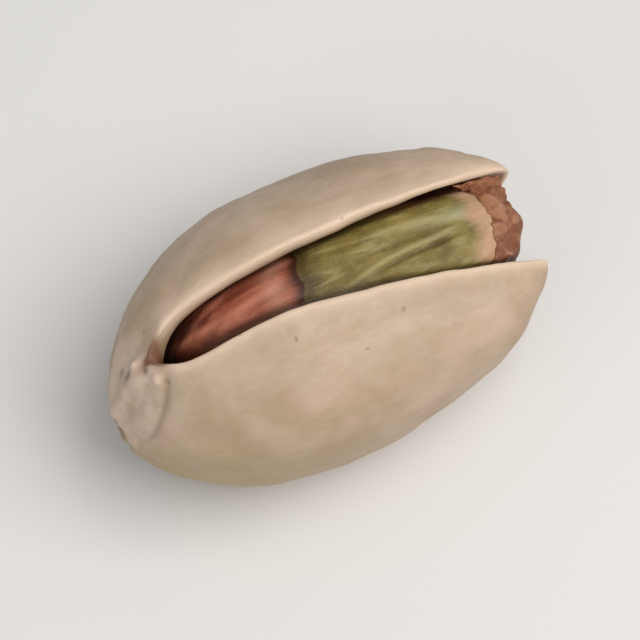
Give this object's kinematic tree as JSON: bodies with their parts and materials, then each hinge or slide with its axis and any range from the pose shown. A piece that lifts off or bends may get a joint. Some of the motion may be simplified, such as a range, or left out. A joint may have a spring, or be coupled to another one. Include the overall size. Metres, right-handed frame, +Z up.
{
  "type": "pistachio nut in shell",
  "caption": "Split pistachio nut resting on its lower seam, its two-valved shell gaping at the top over a kernel whose red skin is peeled from a green patch.",
  "frame": {"origin": "under the middle of the nut, on the plane of the flat spot that it rests on", "axes": "+X runs from the stem end to the parted tips, +Z is up through the open seam, and +Y crosses the two valves"},
  "size_m": [0.0208, 0.013, 0.013],
  "materials": {
    "nutshell": "satin",
    "kernel": "satin",
    "seed_skin": "satin"
  },
  "bodies": {
    "root": {"shell": "nutshell", "kernel": "kernel", "seed_skin": "seed_skin"}
  },
  "joints": []
}
